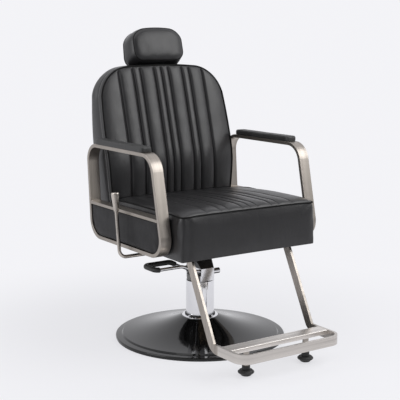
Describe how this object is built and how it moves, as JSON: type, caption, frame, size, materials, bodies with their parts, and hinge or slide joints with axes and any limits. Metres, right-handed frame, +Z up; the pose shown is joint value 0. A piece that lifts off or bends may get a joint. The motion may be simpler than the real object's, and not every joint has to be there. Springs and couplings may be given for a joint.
{
  "type": "barber chair",
  "caption": "Hydraulic barber chair with a reclining channelled back, sliding headrest, flat-bar arm loops, fixed footrest and a round pump base.",
  "frame": {"origin": "on the floor under the round base, on the swivel axis", "axes": "+Z up, -Y the way a sitter faces, +X to the left of the sitter"},
  "size_m": [0.6728, 0.8892, 1.0806],
  "materials": {
    "rubber": "matte",
    "base_enamel": "gloss",
    "cast_iron": "matte",
    "chrome": "polished",
    "machined_steel": "satin",
    "pump_iron": "satin",
    "black_paint": "satin",
    "brushed_steel": "satin",
    "plywood": "matte",
    "wrapped_plywood": "satin",
    "upholstery": "satin",
    "soft_plastic": "matte",
    "guide_plastic": "matte"
  },
  "bodies": {
    "base": {"floor_pad": "rubber", "base_cover": "base_enamel", "ballast_plate": "cast_iron", "base_hub": "cast_iron", "base_flange": "chrome", "flange_bolts": "chrome", "tube_gasket": "rubber", "outer_tube": "chrome", "hydraulic_cylinder": "machined_steel", "guide_bush": "machined_steel", "wiper_seal": "rubber"},
    "lift": {"ram": "chrome", "piston": "machined_steel", "piston_seal": "rubber", "thrust_washer": "machined_steel"},
    "chair": {"pump_head": "pump_iron", "head_cover": "chrome", "plunger_barrel": "chrome", "plunger_spring": "machined_steel", "seat_carrier": "black_paint", "cross_rails": "black_paint", "side_rails": "black_paint", "frame_bolts": "machined_steel", "seat_box": "plywood", "seat_board": "plywood", "seat_cushion": "upholstery", "arm_frame_left": "brushed_steel", "arm_frame_right": "brushed_steel", "arm_panel_left": "upholstery", "arm_panel_right": "upholstery", "arm_pad_left": "soft_plastic", "arm_pad_right": "soft_plastic", "arm_bolts": "machined_steel", "arm_spacers": "black_paint", "arm_screws": "machined_steel", "footrest_leg_left": "brushed_steel", "footrest_leg_right": "brushed_steel", "footrest_bar": "brushed_steel", "footrest_tread": "brushed_steel", "footrest_posts": "brushed_steel", "footrest_feet": "rubber", "hinge_brackets": "black_paint", "hinge_pins": "machined_steel", "gas_rod": "machined_steel"},
    "pump_lever": {"pump_lever": "chrome", "pedal_grip": "soft_plastic", "lever_shaft": "machined_steel"},
    "plunger": {"plunger": "machined_steel"},
    "backrest": {"back_cushion": "upholstery", "back_board": "plywood", "back_shell": "wrapped_plywood", "back_frame": "black_paint", "crank_pin": "machined_steel", "headrest_guides": "guide_plastic"},
    "headrest": {"headrest_cushion": "upholstery", "headrest_posts": "machined_steel"},
    "gas_cylinder": {"gas_cylinder": "black_paint"},
    "recline_lever": {"recline_lever": "chrome", "lever_handle": "chrome"},
    "release_pin": {"release_pin": "machined_steel"}
  },
  "joints": [
    {"name": "lift", "type": "slide", "parent": "base", "child": "lift", "axis": [0, 0, 1], "range_m": [0, 0.145]},
    {"name": "swivel", "type": "hinge", "parent": "lift", "child": "chair", "pos_m": [0, 0, 0.21], "axis": [0, 0, 1], "continuous": true},
    {"name": "pump_lever", "type": "hinge", "parent": "chair", "child": "pump_lever", "pos_m": [-0.008, 0, 0.24], "axis": [0, -1, 0], "range_deg": [0, 22], "stiffness_Nm_per_rad": 5, "springref_deg": -22.92},
    {"name": "plunger", "type": "slide", "parent": "chair", "child": "plunger", "axis": [1, 0, 0], "range_m": [0, 0.0053], "deforming": ["plunger_spring"]},
    {"name": "recline", "type": "hinge", "parent": "chair", "child": "backrest", "pos_m": [0, 0.2159, 0.4], "axis": [-1, 0, 0], "range_deg": [0, 40]},
    {"name": "gas_spring", "type": "slide", "parent": "chair", "child": "gas_cylinder", "axis": [0, -1, 0], "range_m": [0, 0.041]},
    {"name": "recline_lever", "type": "hinge", "parent": "chair", "child": "recline_lever", "pos_m": [-0.13, -0.032, 0.332], "axis": [-1, 0, 0], "range_deg": [0, 15], "stiffness_Nm_per_rad": 3, "springref_deg": -17.19},
    {"name": "release_pin", "type": "slide", "parent": "chair", "child": "release_pin", "axis": [0, 1, 0], "range_m": [0, 0.0026]},
    {"name": "headrest", "type": "slide", "parent": "backrest", "child": "headrest", "axis": [0, 0.2625, 0.9649], "range_m": [0, 0.08]}
  ],
  "couplings": [
    {"joint": "plunger", "follows": "pump_lever", "m_per_rad": 0.013659},
    {"joint": "gas_spring", "follows": "recline", "m_per_rad": 0.058596},
    {"joint": "release_pin", "follows": "recline_lever", "m_per_rad": 0.0098862}
  ]
}
